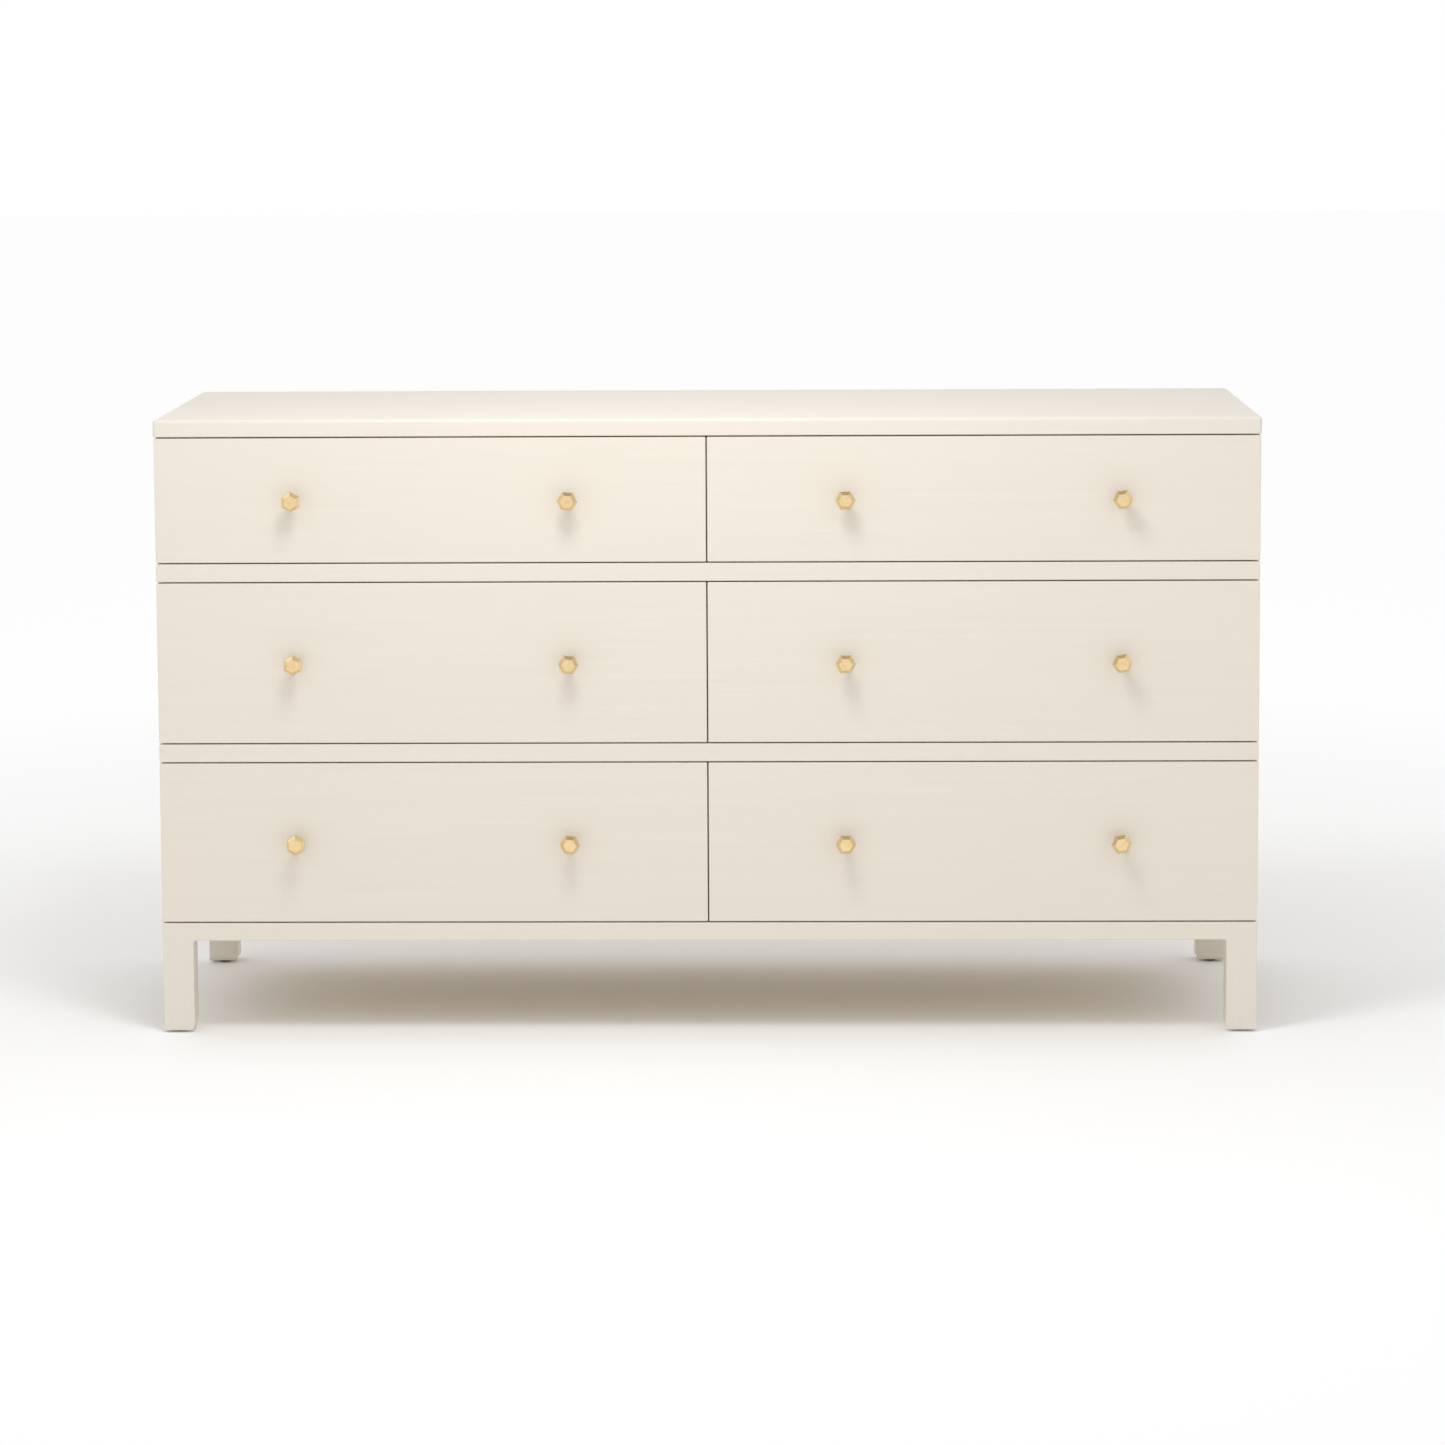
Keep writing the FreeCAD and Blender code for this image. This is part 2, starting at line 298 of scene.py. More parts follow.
def pressedBoard(name):
    # fine pressed board: small flat flakes of mixed tone
    material, place, feed = newMaterial(name, {"Specular IOR Level": 0.3})
    inputs = {"Vector": place, "Scale": 1 / caseBoard["chipSize"]}
    flakes = place.make("ShaderNodeTexVoronoi", {"feature": "F1"}, inputs, 1)
    tone = flakes.make("ShaderNodeSeparateColor", None, {0: flakes})
    dust = place.noise((700, 700, 700), 3.0, 0.6)
    darkOnes = ramped(tone, [(0.55, 0.0), (0.95, 1.0)]) * 0.7
    lightOnes = ramped(tone, [(0.05, 1.0), (0.4, 0.0)]) * 0.6
    body = blended(darkOnes, caseBoard["chip"], caseBoard["chipDark"])
    body = blended(lightOnes, body, caseBoard["chipLight"])
    feed("Base Color", blended(dust * 0.25, body, caseBoard["chipDark"]))
    feed("Roughness", dust * 0.16 + caseBoard["roughness"] - 0.08)
    feed("Normal", bumped(tone * 0.4 + dust * 0.6, caseBoard["height"], 0.5))
    return material


endGrain = {
    "light": colour(206, 174, 130),
    "dark": colour(158, 122, 80),
    "ringPitch": 0.0021,
    "roughness": 0.6,
    "poreHeight": 0.00005,
}


def sawnEnd(name):
    # board ends: close rings across the cut, with open pores
    material, place, feed = newMaterial(name, {"Specular IOR Level": 0.3})
    density = 1 / endGrain["ringPitch"]
    rings = place.noise((density / 4, density / 4, density), 2.0, 0.5, 0.8)
    pores = place.noise((2600, 2600, 2600), 2.0, 0.6)
    body = blended(ramped(rings, [(0.35, 0.0), (0.65, 1.0)]), endGrain["light"], endGrain["dark"])
    feed("Base Color", blended(ramped(pores, [(0.55, 0.0), (0.75, 1.0)]) * 0.6, body, endGrain["dark"]))
    feed("Roughness", pores * 0.2 + endGrain["roughness"] - 0.1)
    feed("Normal", bumped(pores, endGrain["poreHeight"], 0.5))
    return material


zinc = {
    "bright": colour(196, 199, 201),
    "dull": colour(174, 178, 181),
    "grease": colour(150, 147, 139),
    "roughness": 0.30,
    "drawnHeight": 0.00002,
}


def zincPlate(name):
    # rolled strip with drawn lines along its length and faint spangle
    material, place, feed = newMaterial(name, {"Metallic": 1.0})
    drawn = place.noise((1400, 30, 1400), 2.0, 0.6)
    spangle = place.noise((380, 160, 380), 3.0, 0.6)
    body = blended(ramped(spangle, [(0.4, 0.0), (0.7, 1.0)]), zinc["bright"], zinc["dull"])
    feed("Base Color", blended(ramped(drawn, [(0.6, 0.0), (0.85, 1.0)]) * 0.5, body, zinc["grease"]))
    feed("Roughness", spangle * 0.16 + drawn * 0.08 + zinc["roughness"] - 0.1)
    feed("Normal", bumped(drawn, zinc["drawnHeight"], 0.5))
    return material


glidePlastic = {
    "dark": colour(42, 38, 35),
    "scuff": colour(98, 92, 86),
    "roughness": 0.5,
    "height": 0.00006,
}


def mouldedPlastic(name):
    # fine texture from the mould, scuffed by the floor
    material, place, feed = newMaterial(name, {"Specular IOR Level": 0.4})
    texture = place.noise((1500, 1500, 1500), 2.0, 0.5)
    scuffs = ramped(place.noise((240, 240, 40), 4.0, 0.7), [(0.56, 0.0), (0.76, 1.0)])
    feed("Base Color", blended(scuffs * 0.5, glidePlastic["dark"], glidePlastic["scuff"]))
    feed("Roughness", scuffs * 0.2 + texture * 0.1 + glidePlastic["roughness"] - 0.05)
    feed("Normal", bumped(texture, glidePlastic["height"], 0.4))
    return material


linenAcross = linenLacquer("linenAcross", "X")
linenUpright = linenLacquer("linenUpright", "Z")
linenDeep = linenLacquer("linenDeep", "Y")
brassFinish = polishedBrass("brassFinish", brass)
rimFinish = polishedBrass("rimFinish", rimBrass)
mapleDeep = plainWood("mapleDeep", "Y", maple)
mapleAcross = plainWood("mapleAcross", "X", maple)
plyAcross = plainWood("plyAcross", "X", birchPly)
plyUpright = plainWood("plyUpright", "Z", birchPly)
endGrainFinish = sawnEnd("endGrainFinish")
boardFinish = pressedBoard("boardFinish")
zincFinish = zincPlate("zincFinish")
plasticFinish = mouldedPlastic("plasticFinish")
print("materials made")


def newPiece(name, mesh, materials, body, slotName, *nodes):
    # a piece that rides on a body and stands for the given nodes
    piece = bpy.data.objects.new(name, mesh)
    bpy.context.scene.collection.objects.link(piece)
    for material in materials:
        mesh.materials.append(material)
    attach(piece, body)
    if nodes:
        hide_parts(*nodes)
    return piece


def finishMesh(name, bm, smooth=True):
    bmesh.ops.recalc_face_normals(bm, faces=bm.faces)
    mesh = bpy.data.meshes.new(name)
    for face in bm.faces:
        face.smooth = smooth
    bm.to_mesh(mesh)
    bm.free()
    return mesh


def addCells(bm, cuts, isFilled):
    # closed skin of the filled cells of a grid; cuts holds the x, y and z planes
    corners = {}
    counts = [len(planes) - 1 for planes in cuts]

    def filled(cell):
        inside = all(0 <= index < count for index, count in zip(cell, counts))
        return inside and isFilled(*cell)

    def corner(index):
        if index not in corners:
            corners[index] = bm.verts.new([planes[i] for planes, i in zip(cuts, index)])
        return corners[index]

    cells = [(i, j, k) for i in range(counts[0]) for j in range(counts[1]) for k in range(counts[2])]
    for cell in cells:
        if not filled(cell):
            continue
        for axis in range(3):
            for step in (-1, 1):
                beside = list(cell)
                beside[axis] += step
                if filled(tuple(beside)):
                    continue
                base = list(cell)
                base[axis] += (step + 1) // 2
                first, second = [other for other in range(3) if other != axis]
                ring = []
                for shift in ((0, 0), (1, 0), (1, 1), (0, 1)):
                    index = list(base)
                    index[first] += shift[0]
                    index[second] += shift[1]
                    ring.append(corner(tuple(index)))
                bm.faces.new(ring)


def addBlock(bm, low, high):
    addCells(bm, [(low[axis], high[axis]) for axis in range(3)], lambda i, j, k: True)


def softened(piece, width, segments=3, byWeight=False):
    # rounds the sharp edges, all of them or by their weights
    bevel = piece.modifiers.new("rounding", "BEVEL")
    bevel.width = width
    bevel.segments = segments
    bevel.limit_method = "WEIGHT" if byWeight else "ANGLE"
    bevel.angle_limit = math.radians(35)
    bevel.use_clamp_overlap = True
    bevel.harden_normals = True


def isAt(edge, axis, plane):
    return all(abs(vertex.co[axis] - plane) < closeEnough for vertex in edge.verts)


def weighEdges(bm, sizeOf, widest):
    # sizeOf gives the rounding of one sharp edge, as a radius
    bmesh.ops.recalc_face_normals(bm, faces=bm.faces)
    bm.normal_update()
    weights = bm.edges.layers.float.new("bevel_weight_edge")
    for edge in bm.edges:
        if edge.calc_face_angle(0) > 0.1:
            edge[weights] = sizeOf(edge) / widest


def ringsToSkin(bm, rings):
    # joins rings of equal length, each a list of points, and closes both ends
    made = [[bm.verts.new(point) for point in ring] for ring in rings]
    count = len(made[0])
    faces = []
    for lower, upper in zip(made, made[1:]):
        for i in range(count):
            j = (i + 1) % count
            faces.append(bm.faces.new((lower[i], lower[j], upper[j], upper[i])))
    faces.append(bm.faces.new(list(reversed(made[0]))))
    faces.append(bm.faces.new(made[-1]))
    return faces


def turned(bm, centre, direction, profile, steps=48, sunk=None):
    # lathe work: profile is (distance along, radius) from one end to the other
    turn = Vector((0, 0, 1)).rotation_difference(Vector(direction)).to_matrix()
    rings = []
    for distance, radius in profile:
        ring = []
        for step in range(steps):
            angle = 2 * math.pi * step / steps
            depth = sunk(step, steps, radius) if sunk else 0
            spot = Vector((radius * math.cos(angle), radius * math.sin(angle), distance - depth))
            ring.append(Vector(centre) + turn @ spot)
        rings.append(ring)
    ringsToSkin(bm, rings)


crossHead = {
    "armReach": 0.52,         # share of the head's radius
    "armDepth": 0.45,         # share of its height
    "steps": 32,
    "dome": [(0.0, 1.0), (0.35, 1.0), (0.62, 0.95), (0.84, 0.8), (0.96, 0.6), (1.0, 0.5), (1.0, 0.38),
             (1.0, 0.15), (1.0, 0.04)],
}


def addScrew(bm, seat, direction, headRadius, headHeight, shankRadius=0.0, shankLength=0.0):
    # domed head with a cross recess, standing on its seat, and a shank behind it
    def cross(step, steps, radius):
        quarter = steps // 4
        isArm = min(step % quarter, quarter - step % quarter) <= 1
        isCore = radius < headRadius * 0.16
        if radius > headRadius * crossHead["armReach"] or not (isArm or isCore):
            return 0
        return headHeight * crossHead["armDepth"] * (1 if radius < headRadius * 0.4 else 0.6)

    profile = [(headHeight * high, headRadius * wide) for high, wide in crossHead["dome"]]
    if shankLength:
        profile = [(-shankLength, shankRadius * 0.8), (-shankLength + shankRadius, shankRadius),
                   (-0.0001, shankRadius)] + profile
    turned(bm, seat, direction, profile, crossHead["steps"], cross)


# planes that several pieces share
topLow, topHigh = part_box("top_panel")
legLow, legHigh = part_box("legs_front")
rearLow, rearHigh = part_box("legs_rear")
baseLow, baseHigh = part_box("base_rail_front")
backLow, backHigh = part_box("back_panel")
dividerLow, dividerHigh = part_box("centre_divider")
halfBody = legHigh.x
frontY = legLow.y
backY = rearHigh.y
legBottom = legLow.z
railUnderside = baseLow.z
railTop = baseHigh.z
legSize = baseHigh.y - baseLow.y
caseY = dividerLow.y
print("frame read")


wrapped = {
    "topArris": millimetres(4.5),
    "topCorner": millimetres(5),
    "panelRadius": millimetres(1.2),
    "faceRadius": millimetres(1.6),
    "railRadius": millimetres(1.5),
    "segments": 4,
}


def buildTop():
    # thick board, with softer edges above than below
    def sizeOf(edge):
        if isAt(edge, 2, topHigh.z):
            return wrapped["topArris"]
        return wrapped["railRadius"] if isAt(edge, 2, topLow.z) else wrapped["topCorner"]

    bm = bmesh.new()
    addBlock(bm, topLow, topHigh)
    weighEdges(bm, sizeOf, wrapped["topCorner"])
    mesh = finishMesh("topBoard", bm)
    piece = newPiece("topBoard", mesh, [linenAcross], "carcass", "ivory_linen_lacquer", "top_panel")
    softened(piece, wrapped["topCorner"], 2 * wrapped["segments"], True)


def buildSide(column):
    # the back lies in a rebate along the rear edge
    name = "sideBoard" + column.capitalize()
    node = "side_panel_" + column
    low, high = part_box(node)
    ledge = backLow.x if column == "left" else backHigh.x
    rebateCell = 1 if column == "left" else 0
    bm = bmesh.new()
    cuts = [(low.x, ledge, high.x), (low.y, backLow.y, high.y), (low.z, high.z)]
    addCells(bm, cuts, lambda i, j, k: not (i == rebateCell and j == 1))
    piece = newPiece(name, finishMesh(name, bm), [linenUpright], "carcass", "ivory_linen_lacquer", node)
    softened(piece, wrapped["panelRadius"], wrapped["segments"])


def buildRail(level):
    # face strip over the whole width, with a tongue behind it in each bay
    name = level + "Rail"
    low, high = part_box("front_rail_" + level)
    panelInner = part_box("side_panel_right")[0].x
    xs = (low.x, -panelInner, dividerLow.x, dividerHigh.x, panelInner, high.x)
    bm = bmesh.new()
    addCells(bm, [xs, (low.y, caseY, high.y), (low.z, high.z)], lambda i, j, k: j == 0 or i in (1, 3))
    mesh = finishMesh(name, bm)
    piece = newPiece(name, mesh, [linenAcross], "carcass", "ivory_linen_lacquer", "front_rail_" + level)
    softened(piece, wrapped["railRadius"], wrapped["segments"])


baseFrame = {
    "edge": millimetres(1.6),
    "crook": millimetres(5),
    "heel": millimetres(9),
    "segments": 8,
}


def buildBase():
    # four legs and the rails between them, wrapped as one piece
    xs = (-halfBody, -halfBody + legSize, halfBody - legSize, halfBody)
    ys = (frontY, frontY + legSize, backY - legSize, backY)
    zs = (legBottom, railUnderside, railTop)
    inner = [(0, xs[1]), (0, xs[2]), (1, ys[1]), (1, ys[2])]

    def filled(i, j, k):
        isLeg = i != 1 and j != 1
        isRail = k == 1 and not (i == 1 and j == 1)
        return isLeg or isRail

    def sizeOf(edge):
        if not any(isAt(edge, axis, plane) for axis, plane in inner):
            return baseFrame["edge"]
        if isAt(edge, 2, legBottom):
            return baseFrame["heel"]
        isHollow = isAt(edge, 2, railUnderside) and edge.calc_face_angle_signed(0) < 0
        return baseFrame["crook"] if isHollow else baseFrame["edge"]

    bm = bmesh.new()
    addCells(bm, [xs, ys, zs], filled)
    weighEdges(bm, sizeOf, baseFrame["heel"])
    for face in bm.faces:
        centre = face.calc_center_median()
        face.material_index = 1 if centre.z < railUnderside else 0
        if abs(face.normal.x) > 0.5 and centre.z > railUnderside:
            face.material_index = 2
    nodes = ("legs_front", "legs_rear", "base_rail_front", "base_rail_rear", "base_rails_side")
    mesh = finishMesh("baseFrame", bm)
    materials = [linenAcross, linenUpright, linenDeep]
    piece = newPiece("baseFrame", mesh, materials, "carcass", "ivory_linen_lacquer", *nodes)
    softened(piece, baseFrame["heel"], baseFrame["segments"], True)


glideDisc = {
    "radius": millimetres(9),
    "pinRadius": millimetres(1.3),
    "pinLength": millimetres(15),
    "rounding": millimetres(0.9),
    "edge": millimetres(0.15),
}


def buildGlides():
    # turned discs under the legs, each on a pin
    radius = glideDisc["radius"]
    rounding = glideDisc["rounding"]
    rim = legBottom
    inset = legSize / 2
    profile = [(0.0, radius * 0.4), (0.0, radius - rounding), (rounding * 0.3, radius - rounding * 0.3),
               (rounding, radius), (rim, radius), (rim, glideDisc["pinRadius"]),
               (rim + glideDisc["pinLength"], glideDisc["pinRadius"])]
    bm = bmesh.new()
    for x in (-halfBody + inset, halfBody - inset):
        for y in (frontY + inset, backY - inset):
            turned(bm, (x, y, 0), (0, 0, 1), profile)
    mesh = finishMesh("legGlides", bm)
    piece = newPiece("legGlides", mesh, [plasticFinish], "carcass", "glide_plastic", "leg_glides")
    softened(piece, glideDisc["edge"], 2)


backFixing = {
    "screwRadius": millimetres(3.4),
    "screwHeight": millimetres(0.7),
    "sunk": 0.6,              # share of the head that lies in the panel
    "inset": millimetres(5),
    "pitch": 0.125,
    "panelEdge": millimetres(0.6),
}


def spread(low, high, pitch):
    # evenly spaced values from low to high, about a pitch apart
    count = max(1, round((high - low) / pitch))
    return [low + (high - low) * step / count for step in range(count + 1)]


def backScrewSpots():
    # up the sides and the divider, and along the rails and the upper stretcher
    inset = backFixing["inset"]
    pitch = backFixing["pitch"]
    topStretcherLow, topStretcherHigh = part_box("top_stretchers")
    halfStretcher = (topStretcherHigh.z - topStretcherLow.z) / 2
    rails = (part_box("front_rail_lower"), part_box("front_rail_upper"))
    heights = [(low.z + high.z) / 2 for low, high in rails] + [topStretcherHigh.z - halfStretcher]
    spots = []
    for x in (backLow.x + inset, 0.0, backHigh.x - inset):
        spots += [(x, z) for z in spread(backLow.z + 4 * inset, backHigh.z - 7 * inset, pitch)]
    for z in heights:
        xs = spread(backLow.x + inset, backHigh.x - inset, pitch)
        spots += [(x, z) for x in xs[1:-1] if abs(x) > 4 * inset]
    return spots


def buildBack():
    # thin panel in its rebate, screwed to the boards behind it
    bm = bmesh.new()
    addBlock(bm, backLow, backHigh)
    mesh = finishMesh("backBoard", bm)
    piece = newPiece("backBoard", mesh, [plyUpright], "carcass", "thin_plywood", "back_panel")
    softened(piece, backFixing["panelEdge"], 2)

    radius = backFixing["screwRadius"]
    height = backFixing["screwHeight"]
    bm = bmesh.new()
    for x, z in backScrewSpots():
        addScrew(bm, (x, backHigh.y - height * backFixing["sunk"], z), (0, 1, 0), radius, height)
    newPiece("backScrews", finishMesh("backScrews", bm), [zincFinish], "carcass", "zinc_plated_steel")


channels = {
    "steel": millimetres(1.2),
    "bend": millimetres(1.5),
    "lip": millimetres(3.0),
    "bendSteps": 4,
    "caseHeight": millimetres(45),
    "caseDepth": millimetres(10.8),
    "middleDepth": millimetres(9),
    "drawerDepth": millimetres(8.3),
    "screwInset": millimetres(34),
    "screwRadius": millimetres(3.6),
    "caseHead": millimetres(0.5),       # nearly flush, so that the middle channel runs clear of it
    "drawerHead": millimetres(1.5),
}


def roundedPath(points, radius, steps):
    # a path with its square corners turned to arcs
    path = [Vector(points[0])]
    for before, corner, after in zip(points, points[1:], points[2:]):
        corner = Vector(corner)
        inward = (corner - Vector(before)).normalized() * radius
        outward = (Vector(after) - corner).normalized() * radius
        for step in range(steps + 1):
            angle = math.pi / 2 * step / steps
            path.append(corner - inward + outward - outward * math.cos(angle) + inward * math.sin(angle))
    path.append(Vector(points[-1]))
    return path


def channelOutline(height, depth):
    # bent strip: web at x = 0, flanges towards +x, and lips that turn in towards the middle
    half = height / 2 - channels["steel"] / 2
    back = channels["steel"] / 2
    front = depth - channels["steel"] / 2
    lip = half - channels["lip"]
    corners = [(front, lip), (front, half), (back, half), (back, -half), (front, -half), (front, -lip)]
    path = roundedPath(corners, channels["bend"], channels["bendSteps"])
    ahead = path[1:] + [path[-1] * 2 - path[-2]]
    behind = [path[0] * 2 - path[1]] + path[:-1]
    outer = []
    inner = []
    for point, after, before in zip(path, ahead, behind):
        along = (after - before).normalized()
        normal = Vector((-along.y, along.x)) * back
        outer.append(point + normal)
        inner.append(point - normal)
    return outer + list(reversed(inner))


def addChannel(bm, webX, facing, low, high, depth):
    # one channel between the y and z of its box, its lips on the facing side of its web
    middle = (low.z + high.z) / 2
    outline = channelOutline(high.z - low.z, depth)
    rings = [[(webX + facing * point.x, y, middle + point.y) for point in outline] for y in (low.y, high.y)]
    ringsToSkin(bm, rings)


def addChannelScrews(bm, webX, facing, low, high, headHeight):
    inset = channels["screwInset"]
    seat = webX + facing * channels["steel"]
    for y in (low.y + inset, (low.y + high.y) / 2, high.y - inset):
        addScrew(bm, (seat, y, (low.z + high.z) / 2), (facing, 0, 0), channels["screwRadius"], headHeight)


def buildCaseSlides():
    # two fixed channels for each drawer, level with the drawer's own
    slidesLow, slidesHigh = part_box("case_slides")
    walls = {"left": (slidesLow.x, dividerLow.x), "right": (dividerHigh.x, slidesHigh.x)}
    bm = bmesh.new()
    for row, column in places:
        drawerLow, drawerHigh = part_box("drawer_slides_" + joined(row, column))
        middle = (drawerLow.z + drawerHigh.z) / 2
        low = Vector((0, slidesLow.y, middle - channels["caseHeight"] / 2))
        high = Vector((0, slidesHigh.y, middle + channels["caseHeight"] / 2))
        for webX, facing in zip(walls[column], (1, -1)):
            addChannel(bm, webX, facing, low, high, channels["caseDepth"])
            addChannelScrews(bm, webX, facing, low, high, channels["caseHead"])
    mesh = finishMesh("caseSlides", bm)
    newPiece("caseSlides", mesh, [zincFinish], "carcass", "zinc_plated_steel", "case_slides")


def buildDrawerSlides(row, column):
    # the middle channels open towards the box, and the drawer's own channels open away from it
    place = joined(row, column)
    low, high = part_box("middle_slides_" + place)
    bm = bmesh.new()
    for webX, facing in ((low.x, 1), (high.x, -1)):
        addChannel(bm, webX, facing, low, high, channels["middleDepth"])
    name = "middleSlides" + titled(row, column)
    mesh = finishMesh(name, bm)
    newPiece(name, mesh, [zincFinish], "middle_" + place, "zinc_plated_steel", "middle_slides_" + place)

    low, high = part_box("drawer_slides_" + place)
    depth = channels["drawerDepth"]
    bm = bmesh.new()
    for webX, facing in ((low.x + depth, -1), (high.x - depth, 1)):
        addChannel(bm, webX, facing, low, high, depth)
        addChannelScrews(bm, webX, facing, low, high, channels["drawerHead"])
    name = "drawerSlides" + titled(row, column)
    mesh = finishMesh(name, bm)
    newPiece(name, mesh, [zincFinish], "drawer_" + place, "zinc_plated_steel", "drawer_slides_" + place)


def buildFace(row, column):
    # wrapped front, with the grain of the cloth across it
    place = joined(row, column)
    name = "drawerFace" + titled(row, column)
    node = "drawer_front_" + place
    bm = bmesh.new()
    addBlock(bm, *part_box(node))
    mesh = finishMesh(name, bm)
    piece = newPiece(name, mesh, [linenAcross], "drawer_" + place, "ivory_linen_lacquer", node)
    softened(piece, wrapped["faceRadius"], wrapped["segments"])


drawerBox = {
    "tails": {"top": 4, "middle": 5, "bottom": 5},
    "pinWidth": millimetres(9.5),
    "flare": millimetres(1.7),
    "groove": millimetres(6),
    "easing": millimetres(1.3),
    "easingSegments": 3,
}


def pinSpans(row, low, high):
    # a half pin at each end, and whole ones between the tails
    count = drawerBox["tails"][row]
    half = drawerBox["pinWidth"] / 2
    centres = [low + (high - low) * step / count for step in range(count + 1)]
    return [(max(low, centre - half), min(high, centre + half)) for centre in centres]


def buildDrawerBox(row, column):
    # dovetailed corners: tails on the side boards and pins on the two ends
    place = joined(row, column)
    low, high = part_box("drawer_sides_" + place)
    floorLow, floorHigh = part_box("drawer_floor_" + place)
    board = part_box("drawer_ends_" + place)[0].x - low.x
    groove = drawerBox["groove"]
    pins = pinSpans(row, floorHigh.z, high.z)
    zs = [low.z, floorLow.z] + [level for pin in pins for level in pin]
    grooveCell = 1

    def isPin(k):
        return k > grooveCell and k % 2 == 0

    def frontFilled(i, j, k):
        return isPin(k) if i != 1 else not (k == grooveCell and j == 1)

    def backFilled(i, j, k):
        return isPin(k) if i != 1 else k > grooveCell

    def flared(bm):
        # the pins narrow towards the outer faces of the ends
        for vertex in bm.verts:
            depth = min(vertex.co.y - low.y, high.y - vertex.co.y)
            shift = drawerBox["flare"] * max(0, 1 - depth / board)
            for pinLow, pinHigh in pins:
                if abs(vertex.co.z - pinLow) < closeEnough and pinLow > floorHigh.z:
                    vertex.co.z = pinLow + shift
                    break
                if abs(vertex.co.z - pinHigh) < closeEnough and pinHigh < high.z:
                    vertex.co.z = pinHigh - shift
                    break

    def finished(name, bm, run, node):
        # run is the grain's axis, and the faces across it show end grain
        flared(bm)
        weighEdges(bm, lambda edge: 1.0 if isAt(edge, 2, high.z) else 0.0, 1.0)
        for face in bm.faces:
            face.material_index = 1 if abs(face.normal["XYZ".index(run)]) > 0.9 else 0
        material = mapleDeep if run == "Y" else mapleAcross
        mesh = finishMesh(name, bm)
        piece = newPiece(name, mesh, [material, endGrainFinish], "drawer_" + place, "drawer_maple", node)
        softened(piece, drawerBox["easing"], drawerBox["easingSegments"], True)

    ys = (low.y, low.y + groove, low.y + board, high.y - board, high.y)
    leftXs = (low.x, low.x + groove, low.x + board)
    rightXs = (high.x - board, high.x - groove, high.x)
    bm = bmesh.new()
    for xs, grooveLayer in ((leftXs, 1), (rightXs, 0)):
        def sideFilled(i, j, k):
            isSocket = j != 2 and isPin(k)
            isGroove = k == grooveCell and i == grooveLayer and j > 0
            return not (isSocket or isGroove)

        addCells(bm, [xs, ys, zs], sideFilled)
    finished("drawerSides" + titled(row, column), bm, "Y", "drawer_sides_" + place)

    xs = (low.x, low.x + board, high.x - board, high.x)
    bm = bmesh.new()
    addCells(bm, [xs, ys[:3], zs], frontFilled)
    addCells(bm, [xs, ys[3:], zs], backFilled)
    finished("drawerEnds" + titled(row, column), bm, "X", "drawer_ends_" + place)


knob = {
    "shares": (0.25, 0.75),   # of the width of the face
    "turns": {"left": (30, 5), "right": (0, -9)},   # degrees
    "cornerRadius": millimetres(14.2),
    "faceRadius": millimetres(9.2),
    "chamfer": millimetres(4.5),
    "side": millimetres(5),
    "taper": millimetres(3),
    "rootRadius": millimetres(6.5),
    "neckRadius": millimetres(4.8),
    "footRadius": millimetres(8),
    "footHeight": millimetres(2),
    "cove": millimetres(1.2),
    "edge": millimetres(0.35),
    "screwRadius": millimetres(2),
    "screwGrip": millimetres(12),
    "headRadius": millimetres(4),
    "headHeight": millimetres(2.4),
}


def addKnob(bm, place, projection, turn):
    # six-sided head with a sloped rim, on a turned neck and foot
    chamferStart = projection - knob["chamfer"]
    sideStart = chamferStart - knob["side"]
    root = sideStart - knob["taper"]
    stations = [(root, knob["rootRadius"]), (sideStart, knob["cornerRadius"]),
                (chamferStart, knob["cornerRadius"]), (projection, knob["faceRadius"])]
    angles = [-math.radians(60 * step + turn) for step in range(6)]
    rings = []
    for distance, radius in stations:
        rings.append([place + Vector((radius * math.cos(angle), -distance, radius * math.sin(angle)))
                      for angle in angles])
    for face in ringsToSkin(bm, rings)[:-1]:
        face.material_index = 1
    neck = knob["neckRadius"]
    foot = knob["footRadius"]
    rise = knob["footHeight"]
    cove = knob["cove"]
    profile = [(0.0, foot), (rise * 0.6, foot), (rise * 0.85, foot * 0.97), (rise, foot * 0.9)]
    profile += [(rise, neck + cove)]
    profile += [(rise + cove * (1 - math.cos(angle)), neck + cove * (1 - math.sin(angle)))
                for angle in (0.4, 0.8, 1.2, 1.57)]
    profile += [(root - cove, neck), (root - cove * 0.3, neck + cove * 0.3)]
    profile += [(root + millimetres(0.2), neck + cove)]
    turned(bm, place, (0, -1, 0), profile)


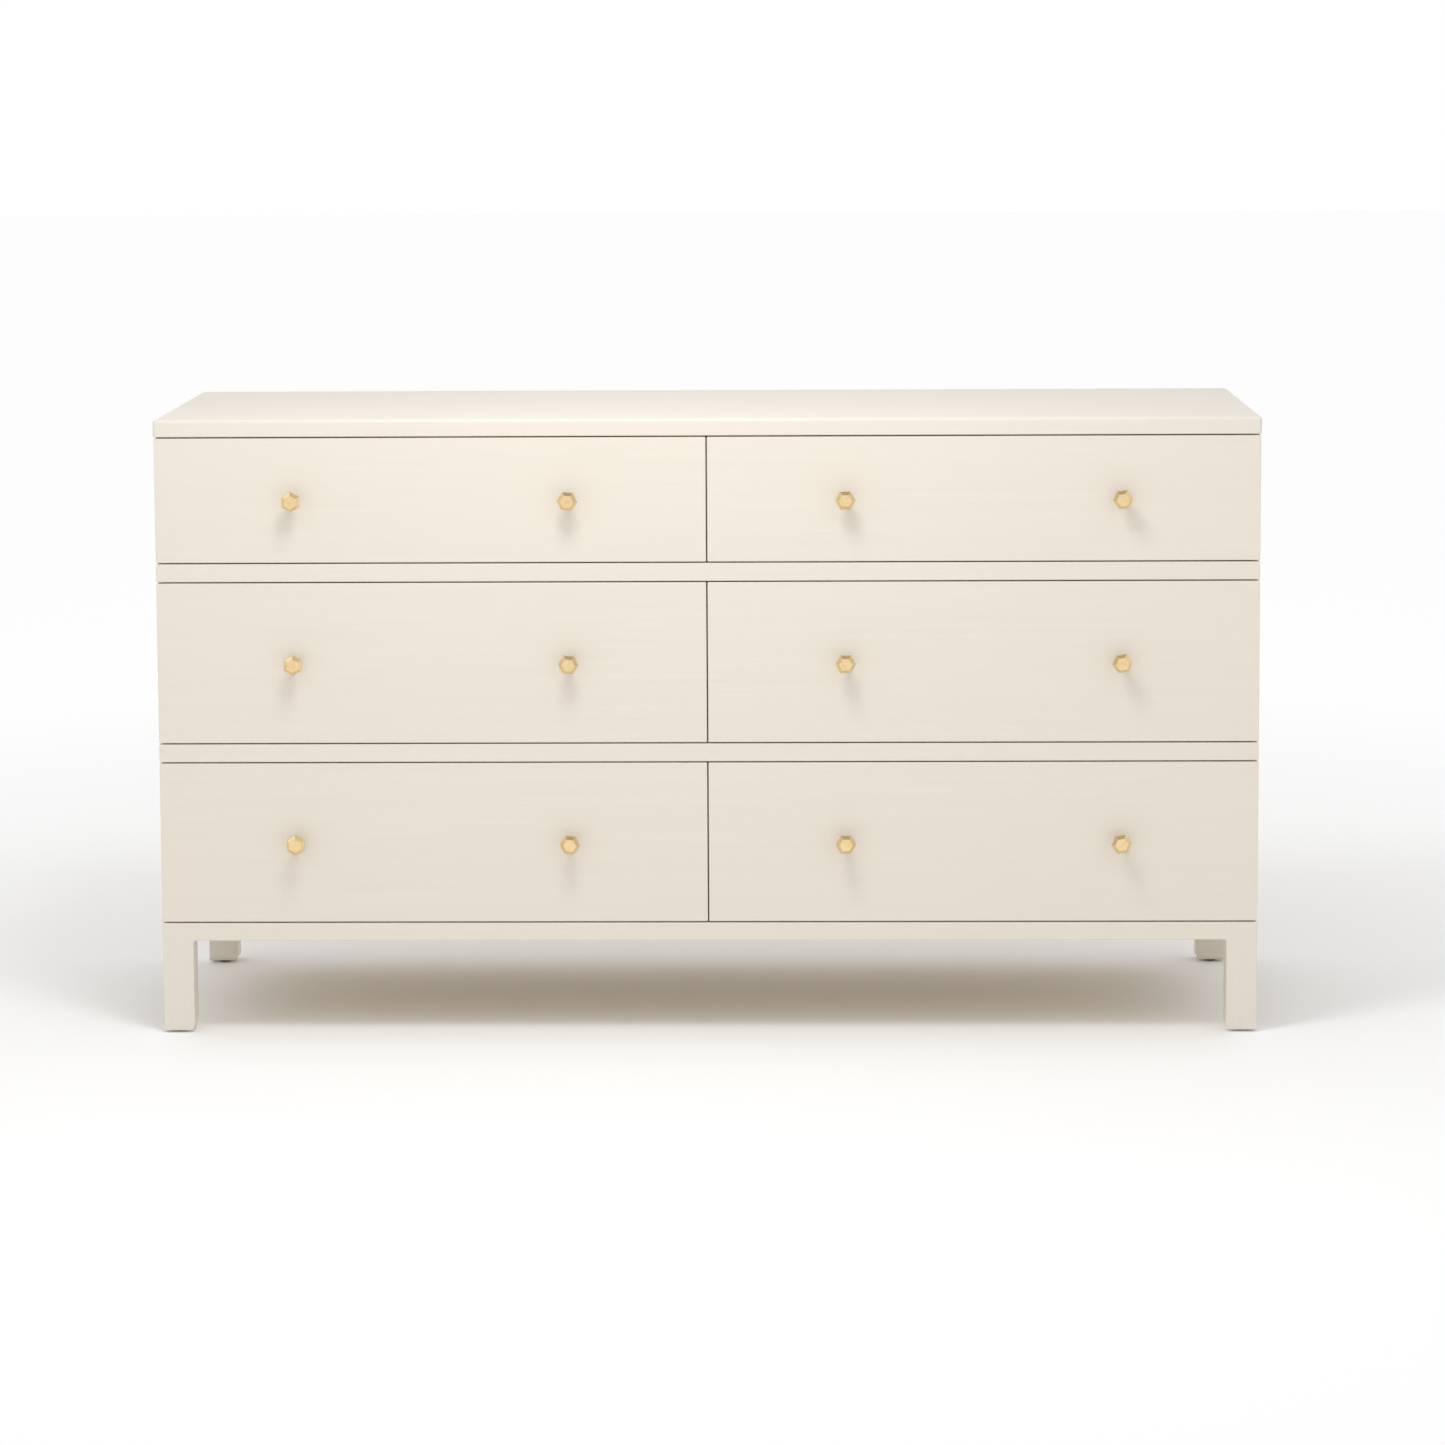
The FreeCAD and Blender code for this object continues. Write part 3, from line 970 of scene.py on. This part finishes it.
def buildKnobs(row, column):
    # brass in front, and the screws that hold it from inside the box
    name = titled(row, column)
    place = joined(row, column)
    low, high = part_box("drawer_front_" + place)
    projection = low.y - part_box("knobs_" + place)[0].y
    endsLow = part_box("drawer_ends_" + place)[0]
    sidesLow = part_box("drawer_sides_" + place)[0]
    board = endsLow.x - sidesLow.x
    innerFrontY = endsLow.y + board
    brassMesh = bmesh.new()
    steelMesh = bmesh.new()
    for share, turn in zip(knob["shares"], knob["turns"][column]):
        x = low.x + (high.x - low.x) * share
        z = (low.z + high.z) / 2
        addKnob(brassMesh, Vector((x, low.y, z)), projection, turn)
        shank = innerFrontY - low.y + knob["screwGrip"]
        addScrew(steelMesh, (x, innerFrontY, z), (0, 1, 0), knob["headRadius"], knob["headHeight"],
                 knob["screwRadius"], shank)
    body = "drawer_" + place
    node = "knobs_" + place
    mesh = finishMesh("knobs" + name, brassMesh)
    piece = newPiece("knobs" + name, mesh, [brassFinish, rimFinish], body, "polished_brass", node)
    softened(piece, knob["edge"], 2)
    mesh = finishMesh("knobScrews" + name, steelMesh)
    newPiece("knobScrews" + name, mesh, [zincFinish], body, "zinc_plated_steel", node)


plainNodes = {
    "centre_divider": boardFinish,
    "bottom_panel": boardFinish,
    "top_stretchers": boardFinish,
    "rear_stretchers": boardFinish,
    "top_screws": zincFinish,
}


def finishPlainNodes():
    # boards and screws whose shape is already right
    finishes = dict(plainNodes)
    finishes.update({"drawer_floor_" + joined(row, column): plyAcross for row, column in places})
    for node, material in finishes.items():
        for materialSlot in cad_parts[node].material_slots:
            materialSlot.material = material


studio = {
    "floorSize": 60.0,
    "floorColour": colour(246, 246, 246),
    "floorTint": colour(240, 240, 240),
    "floorGlow": 0.2,
    "glowNear": 0.2,          # share of the glow that is left under the dresser
    "glowStart": 0.9,         # metres from the middle, where the floor starts to brighten
    "glowFull": 3.2,
    "keyPlace": (-0.16, -0.95, 1.98),
    "keyAim": (0.0, -0.24, 0.55),
    "keySize": (0.5, 0.5),
    "keyPower": 11.4,
    "sky": [(0.09, 1.0), (0.16, 0.53), (0.78, 1.2), (0.92, 0.52)],   # height of the direction, brightness
}

cameraView = {
    # metres, degrees and millimetres of lens
    "place": (0.1384, -6.2383, 1.3642),
    "down": 6.154,
    "left": 1.080,
    "roll": 0.290,
    "lens": 109.3,
    "shift": -0.14,
}


def floorMaterial():
    # pale and matt, and a little brighter away from the dresser
    glow = {"Roughness": 0.9, "Specular IOR Level": 0.1, "Emission Strength": studio["floorGlow"]}
    material, place, feed = newMaterial("paleFloor", glow)
    tone = place.noise((0.7, 0.7, 0.7), 2.0, 0.5)
    feed("Base Color", blended(tone * 0.15, studio["floorColour"], studio["floorTint"]))
    distance = place.make("ShaderNodeVectorMath", {"operation": "LENGTH"}, {0: place}, 1)
    reach = 1 / (studio["glowFull"] - studio["glowStart"])
    stops = [(0.0, studio["glowNear"]), (1.0, 1.0)]
    feed("Emission Color", ramped((distance - studio["glowStart"]) * reach, stops))
    return material


def addSoftbox(name, place, aim, size, power):
    lamp = bpy.data.lights.new(name, "AREA")
    lamp.shape = "RECTANGLE"
    lamp.size, lamp.size_y = size
    lamp.energy = power
    box = bpy.data.objects.new(name, lamp)
    box.location = place
    box.rotation_euler = (Vector(aim) - box.location).to_track_quat("-Z", "Y").to_euler()
    box.visible_glossy = False
    bpy.context.scene.collection.objects.link(box)


def buildStudio():
    # a wide floor, one soft lamp over the front and an even sky
    bm = bmesh.new()
    half = studio["floorSize"] / 2
    corners = [(-half, -half, 0), (half, -half, 0), (half, half, 0), (-half, half, 0)]
    bm.faces.new([bm.verts.new(corner) for corner in corners])
    floor = bpy.data.objects.new("studioFloor", finishMesh("studioFloor", bm, False))
    bpy.context.scene.collection.objects.link(floor)
    floor.data.materials.append(floorMaterial())

    addSoftbox("keySoftbox", studio["keyPlace"], studio["keyAim"], studio["keySize"], studio["keyPower"])

    world = bpy.data.worlds.new("softRoom")
    world.use_nodes = True
    tree = world.node_tree
    direction = Wire(tree).make("ShaderNodeTexCoord", None, None, 0)
    sky = ramped(direction.part("Z"), studio["sky"])
    tree.links.new(sky.socket, tree.nodes["Background"].inputs["Color"])
    bpy.context.scene.world = world
    bpy.context.scene.view_settings.view_transform = "Standard"


def buildCamera():
    lens = bpy.data.cameras.new("studioCamera")
    lens.lens = cameraView["lens"]
    lens.sensor_width = 36
    lens.shift_y = cameraView["shift"]
    lens.clip_end = 200
    camera = bpy.data.objects.new("studioCamera", lens)
    camera.location = cameraView["place"]
    turn = (90 - cameraView["down"], cameraView["roll"], cameraView["left"])
    camera.rotation_euler = [math.radians(angle) for angle in turn]
    bpy.context.scene.collection.objects.link(camera)
    bpy.context.scene.camera = camera


buildCamera()
buildStudio()
print("studio set")
buildTop()
for column in columns:
    buildSide(column)
for level in ("upper", "lower"):
    buildRail(level)
buildBack()
print("case boards built")
buildBase()
buildGlides()
print("base frame and glides built")
buildCaseSlides()
for row, column in places:
    buildFace(row, column)
    buildKnobs(row, column)
    buildDrawerBox(row, column)
    buildDrawerSlides(row, column)
print("drawers built")
finishPlainNodes()
